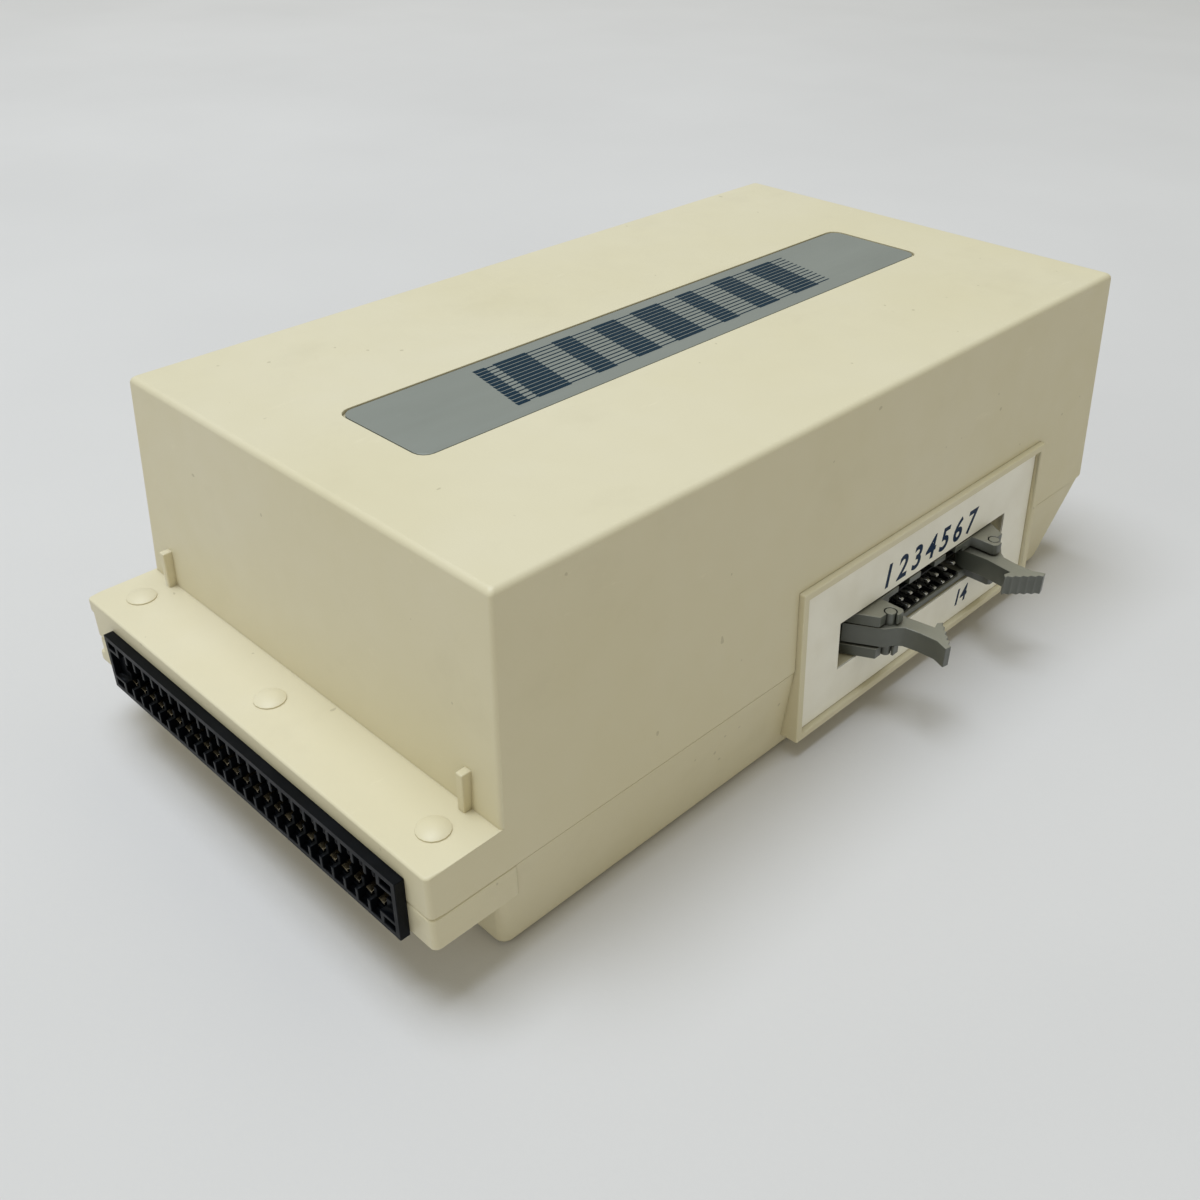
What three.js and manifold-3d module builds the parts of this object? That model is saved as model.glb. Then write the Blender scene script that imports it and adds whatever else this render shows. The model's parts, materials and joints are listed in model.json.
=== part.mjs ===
// A plug-in expansion box for a home computer: a two-part plastic case with a card-edge connector on its
// nose, a latched pin header in its right side, and a circuit board with chips inside.
// Lengths are in millimetres. X points to the right side, Y to the back, Z up. The origin is the middle of
// the flat underside, on which the box rests.

import * as THREE from 'three';
import { mergeVertices } from 'three/addons/utils/BufferGeometryUtils.js';
import Module from 'manifold-3d';

const wasm = await Module();
wasm.setup();

// Pitch of every connector and chip on the board
const pitch = 2.54;

// Gaps and overruns
const fitGap = 0.3;
const cutOverrun = 1;

// Case
const caseWidth = 81.8;
const caseLength = 143.4;
const deckHeight = 22.4;
const coverRise = 32.35;
const partingDrop = 6.6;
const shellWall = 2.2;
const coverCornerRadius = 0.6;
const tubCornerRadius = 1.5;
const innerCornerRadius = 0.8;
const topEdgeRadius = 0.9;
const bottomEdgeRadius = 1.5;
const coverDraftShare = 0.05;
const tubSideLeanShare = 0.107;
const tubFrontLeanShare = 0.104;
const tubBackLeanShare = 0.535;
const lipStep = 0.13;
const seamBevel = 0.25;
const frontSetback = 0.45;
const tongueWidth = 0.8;
const tongueHeight = 2.5;

// Nose
const noseReach = 11.4;
const noseDrop = 12;
const noseWall = 2;
const noseFloor = 0.7;
const noseCornerRadius = 0.8;
const noseEdgeRadius = 0.6;
const deckLip = 2.4;
const floorLip = 2.2;
const lipOverhang = 1.2;

// Ribs and domes on the deck
const ribWidth = 1.2;
const ribDepth = 1.2;
const ribHeight = 5.9;
const ribInset = 5.4;
const domeRadius = 2.25;
const domeEdge = 0.2;
const domeRise = 0.5;
const domeSetback = 5.5;
const domeInset = 5.9;

// Badge in its recess
const badgeWidth = 18.1;
const badgeThickness = 0.5;
const badgeRadius = 2;
const badgeFrontSetback = 15.9;
const badgeBackSetback = 16.7;
const badgeShift = 0.85;
const badgeRecess = 0.6;

// Screw towers of both shells
const towerRadius = 3.4;
const towerBore = 1.7;
const towerBoreDepth = 12;
const towerSideInset = 8.5;
const towerFrontSetback = 14;
const towerBackSetback = 18;
const screwShankRadius = 1.4;
const screwHeadRadius = 2.6;
const screwHeadHeight = 1.9;
const screwWell = 5.6;
const screwWellRadius = 2.9;
const screwBite = 9;
const crossWidth = 0.7;
const crossDepth = 0.9;

// Raised frame round the port
const bezelLength = 67.9;
const bezelRise = 6.85;
const bezelDrop = 19.4;
const bezelAhead = 0.5;
const bezelProud = 1;
const bezelSeat = 0.5;
const bezelGap = 0.1;
const bezelRim = 1.2;
const labelThickness = 0.3;
const labelRecess = 0.9;
const labelGap = 0.1;
const windowLength = 47.6;
const windowHeight = 8.4;
const collarWall = 1.1;
const collarReach = 2.6;

// Pin header in the port
const portPlaceShare = 0.6367;
const portDrop = 7.4;
const pinColumns = 7;
const pinSize = 0.64;
const pinTipTaper = 0.5;
const pinTipShare = 0.4;
const pinOutreach = 0.9;
const shroudHeight = 7.8;
const shroudWall = 1.1;
const shroudOutreach = 0.35;
const shroudDepth = 9;
const cavityLength = 21.6;
const liningWall = 0.35;
const liningSetback = 0.4;
const pinBlockDepth = 2.5;
const notchDepth = 2.5;
const keyNotchWidth = 4;
const sideNotchWidth = 3;
const sideNotchPlace = 6.8;

// Cheeks of the header, which carry the latches
const cheekReach = 4.9;
const cheekInnerPlace = 13.3;
const cheekOuterPlace = 17;
const cheekSlantShare = 0.53;
const cheekOuterLimit = 21.5;
const cheekChamfer = 0.5;

// Latches
const latchThickness = 3.5;
const latchLength = 15.35;
const latchFoot = 1.7;
const latchSlotBack = 4.3;
const pivotPlace = 15.15;
const pivotReach = 3.4;
const pivotRadius = 0.9;
const pivotGap = 0.15;
const gripRibs = 5;
const gripRibDepth = 0.35;

// Card-edge connector on the nose
const cellCount = 25;
const flangeLength = 70.5;
const flangeHeight = 9.5;
const flangeThickness = 1.5;
const flangeInset = 4.26;
const connectorBodyLength = 66.3;
const connectorBodyHeight = 7.5;
const connectorBodyDepth = 13.4;
const cellWall = 0.6;
const cellReach = 2.35;
const cardSlotHeight = 1.9;
const cardSlotMargin = 0.8;
const faceRim = 0.85;
const faceSlotHeight = 4.4;
const faceDepth = 1.1;
const cornerPocketLength = 2.2;
const cornerPocketHeight = 1.15;

// Contacts of the card-edge connector
const contactWidth = 1.2;
const contactThickness = 0.4;
const contactSetback = 1;
const contactBend = 2.15;
const contactTipDrop = 0.8;
const contactTailReach = 1.6;
const contactCrownShare = 0.3;
const contactRootShare = 0.8;
const spacerDepth = 1;
const spacerHeight = 1.2;

// Circuit board
const boardThickness = 1.6;
const boardSideGap = 3.3;
const boardFrontSetback = 2.6;
const boardBackSetback = 7.4;

// Chips and sockets
const romColumns = 14;
const interfaceColumns = 20;
const logicColumns = 8;
const chipRowSpan = 15.24;
const smallChipRowSpan = 7.62;
const chipOverhang = 1.3;
const chipHeight = 3.6;
const chipStandoff = 0.6;
const chipBodyMargin = 1.6;
const legWidth = 0.5;
const legThickness = 0.25;
const legShoulder = 1;
const chipNotchRadius = 1.2;
const chipNotchDepth = 0.4;
const socketRail = 2.6;
const socketHeight = 4.2;
const socketBar = 3;

// Small components
const canRadius = 4;
const canHeight = 11.5;
const canEdge = 0.5;
const canGroove = 0.35;
const canGrooveLift = 1.4;
const leadRadius = 0.3;
const discRadius = 2.6;
const discThickness = 2.2;
const discLift = 1.2;
const networkLegs = 9;
const networkLength = 22.9;
const networkHeight = 5;
const networkThickness = 2.3;
const resistorCount = 4;
const resistorLength = 6.4;
const resistorRadius = 1.15;
const resistorWaist = 0.95;
const resistorCap = 1.6;
const resistorSpan = 10.16;

// Roundness of the faceted shapes
const cornerSteps = 4;
const turnSteps = 16;
const smallTurnSteps = 10;

// Levels and sides that follow from the sizes above
const partingZ = deckHeight - partingDrop;
const topZ = deckHeight + coverRise;
const noseBottomZ = deckHeight - noseDrop;
const portZ = deckHeight - portDrop;
const partingOverhang = coverDraftShare * partingDrop;
const backSetback = tubBackLeanShare * partingZ - partingOverhang + lipStep;
const undersideLength = caseLength - frontSetback - backSetback;
const caseFront = -undersideLength / 2 - frontSetback;
const caseBack = caseFront + caseLength;
const caseRight = caseWidth / 2;
const noseFront = caseFront - noseReach;
const portY = caseFront + portPlaceShare * caseLength;
const boardTop = portZ - shroudHeight / 2;
const boardBottom = boardTop - boardThickness;
const latchSlotHeight = latchThickness + 2 * fitGap;
const socketTop = boardTop + socketHeight;
const tubOverhang = partingOverhang - lipStep;

// Turns a closed mesh into a solid that can be joined and cut
function solidOf(geometry) {
  const bare = geometry.index ? geometry.toNonIndexed() : geometry.clone();
  bare.deleteAttribute('normal');
  bare.deleteAttribute('uv');
  const merged = mergeVertices(bare);
  return new wasm.Manifold(new wasm.Mesh({
    numProp: 3,
    vertProperties: new Float32Array(merged.attributes.position.array),
    triVerts: new Uint32Array(merged.index.array),
  }));
}

// Turns a solid back into a mesh with flat faces
function geometryOf(solid) {
  const mesh = solid.getMesh();
  const geometry = new THREE.BufferGeometry();
  geometry.setAttribute('position', new THREE.BufferAttribute(new Float32Array(mesh.vertProperties), 3));
  geometry.setIndex(new THREE.BufferAttribute(new Uint32Array(mesh.triVerts), 1));
  const flat = geometry.toNonIndexed();
  flat.computeVertexNormals();
  return flat;
}

function join(solids) {
  return solids.reduce((whole, piece) => whole.add(piece));
}

function cut(solid, tools) {
  return tools.reduce((whole, tool) => whole.subtract(tool), solid);
}

// A box given by its two ends along each axis
function box(left, right, front, back, bottom, top) {
  const geometry = new THREE.BoxGeometry(right - left, back - front, top - bottom);
  geometry.translate((left + right) / 2, (front + back) / 2, (bottom + top) / 2);
  return solidOf(geometry);
}

// A cylinder that stands upright
function post(x, y, radius, bottom, top, steps = turnSteps) {
  const geometry = new THREE.CylinderGeometry(radius, radius, top - bottom, steps);
  geometry.rotateX(Math.PI / 2);
  geometry.translate(x, y, (bottom + top) / 2);
  return solidOf(geometry);
}

// A turned shape that stands upright: its profile is a list of [radius, height]
function turned(x, y, profile, steps = turnSteps) {
  const points = profile.map(([radius, height]) => new THREE.Vector2(radius, height));
  const geometry = new THREE.LatheGeometry(points, steps);
  geometry.rotateX(Math.PI / 2);
  geometry.translate(x, y, 0);
  return solidOf(geometry);
}

// The axes that an outline's two directions and its thickness run along
const planes = {
  yz: new THREE.Matrix4().makeBasis(
    new THREE.Vector3(0, 1, 0), new THREE.Vector3(0, 0, 1), new THREE.Vector3(1, 0, 0)),
  zx: new THREE.Matrix4().makeBasis(
    new THREE.Vector3(0, 0, 1), new THREE.Vector3(1, 0, 0), new THREE.Vector3(0, 1, 0)),
  xy: new THREE.Matrix4(),
};

// An outline in one plane, from one level to another along the third axis
function slab(plane, outline, from, to) {
  const shape = new THREE.Shape(outline.map(([across, along]) => new THREE.Vector2(across, along)));
  const geometry = new THREE.ExtrudeGeometry(shape, { depth: to - from, bevelEnabled: false });
  geometry.translate(0, 0, from);
  geometry.applyMatrix4(planes[plane]);
  return solidOf(geometry);
}

// Points of a level rectangle with round corners, counterclockwise from above
function roundedRing({ left, right, front, back, radius, z }) {
  const centres = [
    [right - radius, back - radius],
    [left + radius, back - radius],
    [left + radius, front + radius],
    [right - radius, front + radius],
  ];
  const points = [];
  centres.forEach(([x, y], corner) => {
    for (let step = 0; step <= cornerSteps; step += 1) {
      const angle = (corner + step / cornerSteps) * Math.PI / 2;
      points.push([x + radius * Math.cos(angle), y + radius * Math.sin(angle), z]);
    }
  });
  return points;
}

// A closed skin over rings that lie above each other
function loft(sections) {
  const rings = sections.map(roundedRing);
  const count = rings[0].length;
  const triangles = [];
  for (let level = 0; level + 1 < rings.length; level += 1) {
    for (let i = 0; i < count; i += 1) {
      const here = level * count + i;
      const next = level * count + (i + 1) % count;
      triangles.push(here, next, next + count, here, next + count, here + count);
    }
  }
  const top = (rings.length - 1) * count;
  for (let i = 1; i + 1 < count; i += 1) {
    triangles.push(0, i + 1, i, top, top + i, top + i + 1);
  }
  const geometry = new THREE.BufferGeometry();
  geometry.setAttribute('position', new THREE.Float32BufferAttribute(rings.flat(2), 3));
  geometry.setIndex(triangles);
  return solidOf(geometry);
}

// Rings that round an edge over a quarter turn: each gives its height and its inset
function roundedEdge(radius) {
  const steps = [];
  for (let step = 0; step <= cornerSteps; step += 1) {
    const angle = step / cornerSteps * Math.PI / 2;
    steps.push({ rise: radius * Math.sin(angle), inset: radius * (1 - Math.cos(angle)) });
  }
  return steps;
}

// Level cut through the cover's leaning walls
function coverSection(z, inset, radius) {
  const give = coverDraftShare * (z - deckHeight) + inset;
  return {
    z,
    radius,
    left: -caseRight + give,
    right: caseRight - give,
    front: caseFront + give,
    back: caseBack - give,
  };
}

// Level cut through the tub's leaning walls
function tubSection(z, inset, radius) {
  const drop = partingZ - z;
  const half = caseRight + tubOverhang - tubSideLeanShare * drop - inset;
  return {
    z,
    radius,
    left: -half,
    right: half,
    front: caseFront + frontSetback - tubFrontLeanShare * z + inset,
    back: caseBack + tubOverhang - tubBackLeanShare * drop - inset,
  };
}

// Level cut through the nose, whose sides run on from the cover's
function noseSection(z, inset) {
  const give = coverDraftShare * (z - deckHeight) + inset;
  return {
    z,
    radius: noseCornerRadius,
    left: -caseRight + give,
    right: caseRight - give,
    front: noseFront + inset,
    back: caseFront + shellWall,
  };
}

// The room inside the nose, which opens into the case
function noseRoom(bottom, top) {
  return box(-caseRight + noseWall, caseRight - noseWall, noseFront + noseWall,
    caseFront + shellWall + cutOverrun, bottom, top);
}

// The channel in the nose's left end that leaves the deck and the nose's floor as overhanging lips
function lipChannel() {
  return box(-caseWidth, -caseRight + lipOverhang, noseFront - cutOverrun, caseFront - fitGap,
    noseBottomZ + floorLip, deckHeight - deckLip);
}

const connectorRight = caseRight - flangeInset - (flangeLength - connectorBodyLength) / 2;
const connectorLeft = connectorRight - connectorBodyLength;

// The way for the edge connector's body through the nose's front wall
function connectorWay() {
  return box(connectorLeft - fitGap, connectorRight + fitGap, noseFront - cutOverrun,
    caseFront + shellWall + cutOverrun, portZ - connectorBodyHeight / 2 - fitGap,
    portZ + connectorBodyHeight / 2 + fitGap);
}

const bezelFrontY = portY - bezelAhead - bezelLength / 2;
const bezelBackY = bezelFrontY + bezelLength;
const bezelTop = deckHeight + bezelRise;
const bezelBottom = deckHeight - bezelDrop;

// X of a plane that leans with the cover's right side and stands a little proud of it
function leaningSide(z, proud) {
  return caseRight - coverDraftShare * (z - deckHeight) + proud;
}

// Height at which the bezel's seat in the cover's wall runs out on the tub's wall
const seatFoot = (coverDraftShare * deckHeight - bezelSeat - tubOverhang + tubSideLeanShare * partingZ)
  / (tubSideLeanShare + coverDraftShare);

// The shallow seat for the bezel in the right wall
function bezelSeatWay() {
  return slab('zx', [
    [bezelTop + bezelGap, leaningSide(bezelTop + bezelGap, -bezelSeat)],
    [seatFoot, leaningSide(seatFoot, -bezelSeat)],
    [seatFoot, caseWidth],
    [bezelTop + bezelGap, caseWidth],
  ], bezelFrontY - bezelGap, bezelBackY + bezelGap);
}

// The way for the bezel's collar through the right wall
function collarWay() {
  const halfLength = windowLength / 2 + collarWall + fitGap;
  const halfHeight = windowHeight / 2 + collarWall + fitGap;
  return box(caseRight - shellWall - cutOverrun - collarReach, caseRight + bezelProud + cutOverrun,
    portY - halfLength, portY + halfLength, portZ - halfHeight, portZ + halfHeight);
}

const towerPlaces = [-1, 1].flatMap((side) => [
  [side * (caseRight - towerSideInset), caseFront + towerFrontSetback],
  [side * (caseRight - towerSideInset), caseBack - towerBackSetback],
]);

function badgeShape(grow, bottom, top) {
  const section = {
    radius: badgeRadius,
    left: badgeShift - badgeWidth / 2 - grow,
    right: badgeShift + badgeWidth / 2 + grow,
    front: caseFront + badgeFrontSetback - grow,
    back: caseBack - badgeBackSetback + grow,
  };
  return loft([{ ...section, z: bottom }, { ...section, z: top }]);
}

function deckRibs() {
  return [-1, 1].map((side) => {
    const outer = side * (caseRight - ribInset);
    const inner = side * (caseRight - ribInset - ribWidth);
    return box(Math.min(outer, inner), Math.max(outer, inner), caseFront - ribDepth,
      caseFront + shellWall, deckHeight - shellWall / 2, deckHeight + ribHeight);
  });
}

function deckDomes() {
  const ball = (domeRadius ** 2 + domeRise ** 2) / (2 * domeRise);
  const crown = deckHeight + domeEdge + domeRise;
  const profile = [[0, deckHeight - shellWall / 2], [domeRadius, deckHeight - shellWall / 2]];
  for (let step = 0; step <= cornerSteps; step += 1) {
    const radius = domeRadius * (1 - step / cornerSteps);
    profile.push([radius, crown - ball + Math.sqrt(ball ** 2 - radius ** 2)]);
  }
  return [-1, 0, 1].map(
    (side) => turned(side * (caseRight - domeInset), caseFront - domeSetback, profile));
}

function topCover() {
  const outer = loft([
    coverSection(partingZ, 0, coverCornerRadius),
    ...roundedEdge(topEdgeRadius).map(
      ({ rise, inset }) => coverSection(topZ - topEdgeRadius + rise, inset, coverCornerRadius)),
  ]);
  const room = loft([
    coverSection(partingZ - cutOverrun, shellWall, innerCornerRadius),
    coverSection(topZ - shellWall, shellWall, innerCornerRadius),
  ]);
  const rabbet = loft([
    coverSection(partingZ - cutOverrun, shellWall - tongueWidth - fitGap, innerCornerRadius),
    coverSection(partingZ + tongueHeight + fitGap, shellWall - tongueWidth - fitGap, innerCornerRadius),
  ]);
  const nose = loft([noseSection(partingZ, 0), noseSection(deckHeight, 0)]);
  const towers = towerPlaces.map(
    ([x, y]) => post(x, y, towerRadius, boardTop, topZ - shellWall / 2));
  const bores = towerPlaces.map(
    ([x, y]) => post(x, y, towerBore, boardTop - cutOverrun, boardTop + towerBoreDepth, smallTurnSteps));
  const shell = join([cut(outer, [room, rabbet]), nose, ...deckRibs(), ...deckDomes()]);
  const opened = cut(shell, [
    noseRoom(partingZ - cutOverrun, deckHeight - shellWall),
    lipChannel(),
    connectorWay(),
    bezelSeatWay(),
    collarWay(),
    badgeShape(fitGap, topZ - badgeRecess, topZ + cutOverrun),
  ]);
  return geometryOf(cut(join([opened, ...towers]), bores));
}

// The tongue on the tub's rim, which stands inside the cover's wall behind the nose
function rimTongue() {
  const outer = shellWall - tongueWidth;
  const ring = cut(
    loft([
      coverSection(partingZ - shellWall, outer, innerCornerRadius),
      coverSection(partingZ + tongueHeight, outer, innerCornerRadius),
    ]),
    [loft([
      coverSection(partingZ - shellWall - cutOverrun, shellWall, innerCornerRadius),
      coverSection(partingZ + tongueHeight + cutOverrun, shellWall, innerCornerRadius),
    ])],
  );
  return cut(ring, [box(-caseWidth, caseWidth, noseFront, caseFront + 2 * shellWall,
    partingZ - shellWall - cutOverrun, partingZ + tongueHeight + cutOverrun)]);
}

function lowerShell() {
  const foot = roundedEdge(bottomEdgeRadius).map(
    ({ rise, inset }) => tubSection(bottomEdgeRadius - rise, inset, tubCornerRadius)).reverse();
  const tub = loft([
    ...foot,
    tubSection(partingZ - seamBevel, 0, tubCornerRadius),
    tubSection(partingZ, seamBevel, tubCornerRadius),
  ]);
  const room = loft([
    tubSection(shellWall, shellWall, innerCornerRadius),
    tubSection(partingZ + cutOverrun, shellWall, innerCornerRadius),
  ]);
  const nose = loft([
    noseSection(noseBottomZ, noseEdgeRadius),
    noseSection(noseBottomZ + noseEdgeRadius, 0),
    noseSection(partingZ - seamBevel, 0),
    noseSection(partingZ, seamBevel),
  ]);
  const towers = towerPlaces.map(([x, y]) => post(x, y, towerRadius, shellWall / 2, boardBottom));
  const wells = towerPlaces.flatMap(([x, y]) => [
    post(x, y, screwWellRadius, -cutOverrun, screwWell, smallTurnSteps),
    post(x, y, towerBore, screwWell - fitGap, boardBottom + cutOverrun, smallTurnSteps),
  ]);
  const shell = cut(join([tub, nose]), [room]);
  const opened = cut(join([shell, rimTongue()]), [
    noseRoom(noseBottomZ + noseFloor, partingZ + cutOverrun),
    lipChannel(),
    connectorWay(),
    bezelSeatWay(),
    collarWay(),
  ]);
  return geometryOf(cut(join([opened, ...towers]), wells));
}

function topBadge() {
  return geometryOf(badgeShape(0, topZ - badgeRecess, topZ - badgeRecess + badgeThickness));
}

const windowHalf = windowLength / 2;
const windowHalfHeight = windowHeight / 2;
const windowDepth = caseRight - collarReach - cutOverrun;
const windowFace = caseRight + bezelProud + cutOverrun;

// A box from one depth to another that is centred on the port
function portBox(inner, outer, halfLength, halfHeight) {
  return box(inner, outer, portY - halfLength, portY + halfLength, portZ - halfHeight,
    portZ + halfHeight);
}

// A strip that leans with the bezel's face, between two heights and two depths
function faceStrip(top, bottom, deep, shallow) {
  return [
    [top, leaningSide(top, bezelProud - deep)],
    [bottom, leaningSide(bottom, bezelProud - deep)],
    [bottom, leaningSide(bottom, bezelProud - shallow)],
    [top, leaningSide(top, bezelProud - shallow)],
  ];
}

// The bezel lies in its seat in the cover's wall above, and on the tub's wall below
function portBezel() {
  const block = slab('zx', [
    [bezelTop, leaningSide(bezelTop, -bezelSeat)],
    [seatFoot, leaningSide(seatFoot, -bezelSeat)],
    [bezelBottom, tubSection(bezelBottom, 0, tubCornerRadius).right],
    [bezelBottom, leaningSide(bezelBottom, bezelProud)],
    [bezelTop, leaningSide(bezelTop, bezelProud)],
  ], bezelFrontY, bezelBackY);
  const recess = slab('zx', faceStrip(bezelTop - bezelRim, bezelBottom + bezelRim,
    labelRecess + labelThickness, -cutOverrun), bezelFrontY + bezelRim, bezelBackY - bezelRim);
  const collar = portBox(caseRight - collarReach, caseRight, windowHalf + collarWall,
    windowHalfHeight + collarWall);
  const way = portBox(windowDepth, windowFace, windowHalf, windowHalfHeight);
  return geometryOf(cut(join([block, collar]), [recess, way]));
}

function portLabel() {
  const plate = slab('zx', faceStrip(bezelTop - bezelRim - labelGap, bezelBottom + bezelRim + labelGap,
    labelRecess + labelThickness, labelRecess), bezelFrontY + bezelRim + labelGap,
  bezelBackY - bezelRim - labelGap);
  return geometryOf(cut(plate, [portBox(windowDepth, windowFace, windowHalf, windowHalfHeight)]));
}

// Middle of each of the connector's cells along X
const cellPlaces = Array.from({ length: cellCount },
  (_, i) => (connectorLeft + connectorRight) / 2 + (i - (cellCount - 1) / 2) * pitch);
const flangeFront = noseFront - flangeThickness;
const connectorBack = noseFront + connectorBodyDepth;
const cellFar = cardSlotHeight / 2 + cellReach;

// A comb-shaped outline: a slot along the middle with a cell above and below it for each contact
function combOutline(slotHalf, far, end) {
  const middle = (connectorLeft + connectorRight) / 2;
  const cellHalf = (pitch - cellWall) / 2;
  const cells = cellPlaces.flatMap((x) => [
    [slotHalf, x - cellHalf],
    [far, x - cellHalf],
    [far, x + cellHalf],
    [slotHalf, x + cellHalf],
  ]);
  const upper = [[slotHalf, middle - end], ...cells, [slotHalf, middle + end]];
  const lower = upper.map(([rise, x]) => [-rise, x]).reverse();
  return [...upper, ...lower].map(([rise, x]) => [portZ + rise, x]);
}

// The body with its card slot right through; the flange's face is sunk in a wider comb, with a long
// pocket in each corner
function edgeConnectorBody() {
  const middle = (connectorLeft + connectorRight) / 2;
  const half = flangeLength / 2;
  const flange = box(middle - half, middle + half, flangeFront, noseFront,
    portZ - flangeHeight / 2, portZ + flangeHeight / 2);
  const body = box(connectorLeft, connectorRight, noseFront, connectorBack,
    portZ - connectorBodyHeight / 2, portZ + connectorBodyHeight / 2);
  const slotEnd = (cellCount * pitch) / 2 + cardSlotMargin;
  const mouth = slab('zx', combOutline(cardSlotHeight / 2, cellFar, slotEnd),
    flangeFront - cutOverrun, connectorBack + cutOverrun);
  const faceEnd = half - faceRim;
  const faceFar = flangeHeight / 2 - faceRim;
  const face = slab('zx', combOutline(faceSlotHeight / 2, faceFar, faceEnd),
    flangeFront - cutOverrun, flangeFront + faceDepth);
  const pockets = [-1, 1].flatMap((side) => [-1, 1].map((level) => {
    const x = middle + side * (faceEnd - cornerPocketLength / 2);
    const z = portZ + level * (faceFar - cornerPocketHeight / 2);
    return box(x - cornerPocketLength / 2, x + cornerPocketLength / 2, flangeFront - cutOverrun,
      flangeFront + faceDepth, z - cornerPocketHeight / 2, z + cornerPocketHeight / 2);
  }));
  return geometryOf(cut(join([flange, body]), [mouth, face, ...pockets]));
}

// One row of sprung contacts, held by a spacer behind the connector: each lies on its cell's far wall,
// bows towards the card, and turns down to the board
function edgeContacts(level) {
  const tail = connectorBack + contactTailReach + (level > 0 ? pitch : 0);
  const near = level > 0 ? tail : tail - contactThickness;
  const far = level > 0 ? tail - contactThickness : tail;
  const tip = flangeFront + contactSetback;
  const crown = tip + (connectorBack - tip) * contactCrownShare;
  const root = tip + (connectorBack - tip) * contactRootShare;
  const fromWall = (depth) => portZ + level * (cellFar - depth);
  const outline = [
    [tip, fromWall(contactTipDrop)],
    [crown, fromWall(contactBend)],
    [root, fromWall(0)],
    [near, fromWall(0)],
    [near, boardTop],
    [far, boardTop],
    [far, fromWall(contactThickness)],
    [root, fromWall(contactThickness)],
    [crown, fromWall(contactBend + contactThickness)],
    [tip, fromWall(contactTipDrop + contactThickness)],
  ];
  const contacts = cellPlaces.map(
    (x) => slab('yz', outline, x - contactWidth / 2, x + contactWidth / 2));
  const levels = [fromWall(0), fromWall(spacerHeight)];
  const spacer = box(cellPlaces[0] - pitch / 2, cellPlaces[cellCount - 1] + pitch / 2, connectorBack,
    connectorBack + spacerDepth, Math.min(...levels), Math.max(...levels));
  return geometryOf(join([spacer, ...contacts]));
}

const pinPlaces = Array.from({ length: pinColumns },
  (_, i) => portY + (i - (pinColumns - 1) / 2) * pitch);
const shroudFront = caseRight + shroudOutreach;
const shroudBack = shroudFront - shroudDepth;
const shroudTop = portZ + shroudHeight / 2;
const shroudBottom = portZ - shroudHeight / 2;
const cheekFront = caseRight + cheekReach;
const pivotX = caseRight + pivotReach;
const cavityHalf = cavityLength / 2;
const cavityHalfHeight = shroudHeight / 2 - shroudWall;

// Half of the housing with the cheek of one side, seen from above
function cheekOutline(side) {
  const slantLength = (cheekOuterLimit - cheekOuterPlace) / cheekSlantShare;
  const places = [
    [shroudBack, 0],
    [shroudBack, cheekOuterLimit],
    [cheekFront - slantLength, cheekOuterLimit],
    [cheekFront - cheekChamfer, cheekOuterPlace + cheekSlantShare * cheekChamfer],
    [cheekFront, cheekOuterPlace - cheekChamfer],
    [cheekFront, cheekInnerPlace + cheekChamfer],
    [cheekFront - cheekChamfer, cheekInnerPlace],
    [shroudFront, cheekInnerPlace],
    [shroudFront, 0],
  ];
  return places.map(([x, away]) => [x, portY + side * away]);
}

// Each latch's pin sits in a hole near its cheek's end, open towards the outer front corner
function headerShroud() {
  const halves = [-1, 1].map((side) => slab('xy', cheekOutline(side), shroudBottom, shroudTop));
  const cavity = portBox(shroudBack - cutOverrun, cheekFront + cutOverrun, cavityHalf, cavityHalfHeight);
  const latchWay = portBox(caseRight - latchSlotBack, cheekFront + cutOverrun,
    cheekOuterLimit + cutOverrun, latchSlotHeight / 2);
  const seats = [-1, 1].flatMap((side) => {
    const place = portY + side * pivotPlace;
    const outside = portY + side * (cheekOuterLimit + cutOverrun);
    return [
      post(pivotX, place, pivotRadius + pivotGap, shroudBottom - cutOverrun, shroudTop + cutOverrun),
      box(pivotX, cheekFront + cutOverrun, Math.min(place, outside), Math.max(place, outside),
        shroudBottom - cutOverrun, shroudTop + cutOverrun),
    ];
  });
  const notches = [
    [0, keyNotchWidth], [-sideNotchPlace, sideNotchWidth], [sideNotchPlace, sideNotchWidth],
  ].map(([along, width]) => box(shroudFront - notchDepth, shroudFront + cutOverrun,
    portY + along - width / 2, portY + along + width / 2, portZ, shroudTop + cutOverrun));
  return geometryOf(cut(join(halves), [cavity, latchWay, ...seats, ...notches]));
}

// The black lining: a thin sleeve with a thick floor that holds the pins
function headerInsulator() {
  const sleeve = portBox(shroudBack, shroudFront - liningSetback, cavityHalf, cavityHalfHeight);
  const room = portBox(shroudBack + pinBlockDepth, shroudFront + cutOverrun, cavityHalf - liningWall,
    cavityHalfHeight - liningWall);
  const latchWay = portBox(caseRight - latchSlotBack, shroudFront + cutOverrun,
    cavityHalf + cutOverrun, latchSlotHeight / 2);
  const holes = pinPlaces.flatMap((y) => [-1, 1].map((level) => {
    const z = portZ + level * pitch / 2;
    return box(shroudBack - cutOverrun, shroudBack + pinBlockDepth + cutOverrun, y - pinSize / 2,
      y + pinSize / 2, z - pinSize / 2, z + pinSize / 2);
  }));
  return geometryOf(cut(sleeve, [room, latchWay, ...holes]));
}

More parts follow.
